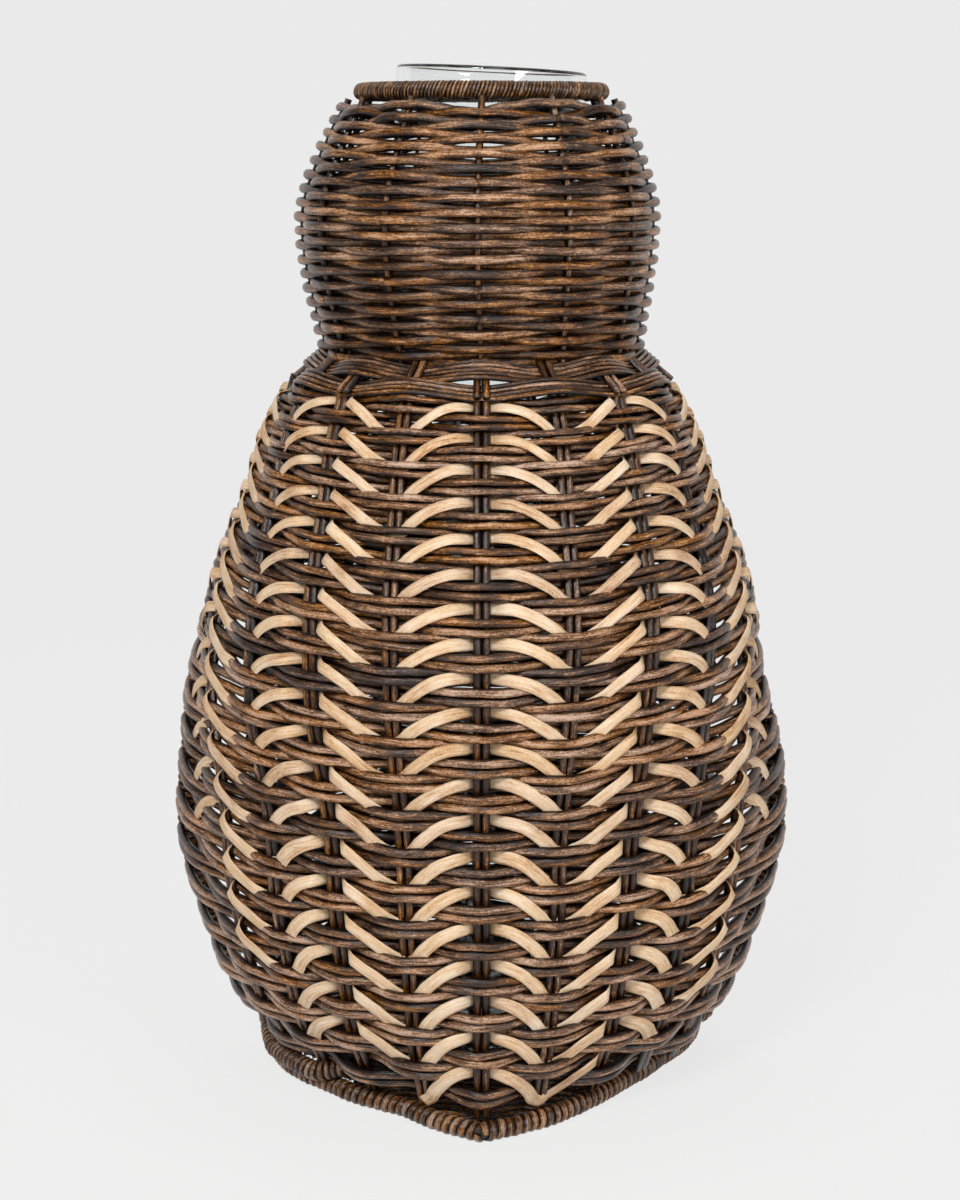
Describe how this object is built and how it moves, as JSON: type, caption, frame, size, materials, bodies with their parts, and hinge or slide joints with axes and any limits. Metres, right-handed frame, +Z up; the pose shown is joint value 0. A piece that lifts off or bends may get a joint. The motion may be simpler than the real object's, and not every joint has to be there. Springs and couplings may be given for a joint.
{
  "type": "owl vase",
  "caption": "Wicker owl-shaped flower vase: open woven head and cloaked body round a loose, leaning glass cylinder that lifts out.",
  "frame": {"origin": "on the floor under the head's axis, on the flat underside of the woven base", "axes": "+Z up, -Y towards the owl's back and tail, +Y towards its face, +X to the right as seen from behind"},
  "size_m": [0.2568, 0.2307, 0.417],
  "materials": {
    "dark_reed": "dark brown stained round reed, streaky, satin",
    "woven_reed": "dark round reed woven with pale flat strips, satin",
    "wrap_reed": "thin brown reed wrapped round a core, satin",
    "pale_reed": "natural pale reed, matt",
    "dark_wood": "turned dark wood, semi-gloss",
    "clear_glass": "clear polished glass"
  },
  "bodies": {
    "basket": {"base_hoop": "wrap_reed", "base_floor": "dark_reed", "back_weave": "woven_reed", "belly_weave": "woven_reed", "left_wing_border": "wrap_reed", "right_wing_border": "wrap_reed", "neck_band": "dark_reed", "head_weave": "dark_reed", "top_rim": "wrap_reed", "back_stake_1": "dark_reed", "back_stake_2": "dark_reed", "back_stake_3": "dark_reed", "back_stake_4": "dark_reed", "back_stake_5": "dark_reed", "back_stake_6": "dark_reed", "back_stake_7": "dark_reed", "back_stake_8": "dark_reed", "back_stake_9": "dark_reed", "belly_stake_1": "dark_reed", "belly_stake_2": "dark_reed", "belly_stake_3": "dark_reed", "belly_stake_4": "dark_reed", "belly_stake_5": "dark_reed", "belly_stake_6": "dark_reed", "belly_stake_7": "dark_reed", "head_stake_1": "dark_reed", "head_stake_2": "dark_reed", "head_stake_3": "dark_reed", "head_stake_4": "dark_reed", "head_stake_5": "dark_reed", "head_stake_6": "dark_reed", "head_stake_7": "dark_reed", "head_stake_8": "dark_reed", "head_stake_9": "dark_reed", "head_stake_10": "dark_reed", "head_stake_11": "dark_reed", "head_stake_12": "dark_reed", "left_eye_ring": "wrap_reed", "left_eye_disc": "pale_reed", "left_pupil": "dark_wood", "right_eye_ring": "wrap_reed", "right_eye_disc": "pale_reed", "right_pupil": "dark_wood", "beak": "dark_wood"},
    "glass": {"glass_insert": "clear_glass"}
  },
  "joints": [
    {"name": "glass_lift", "type": "slide", "parent": "basket", "child": "glass", "axis": [0.0471, 0, 0.9989], "range_m": [0, 0.42]}
  ]
}
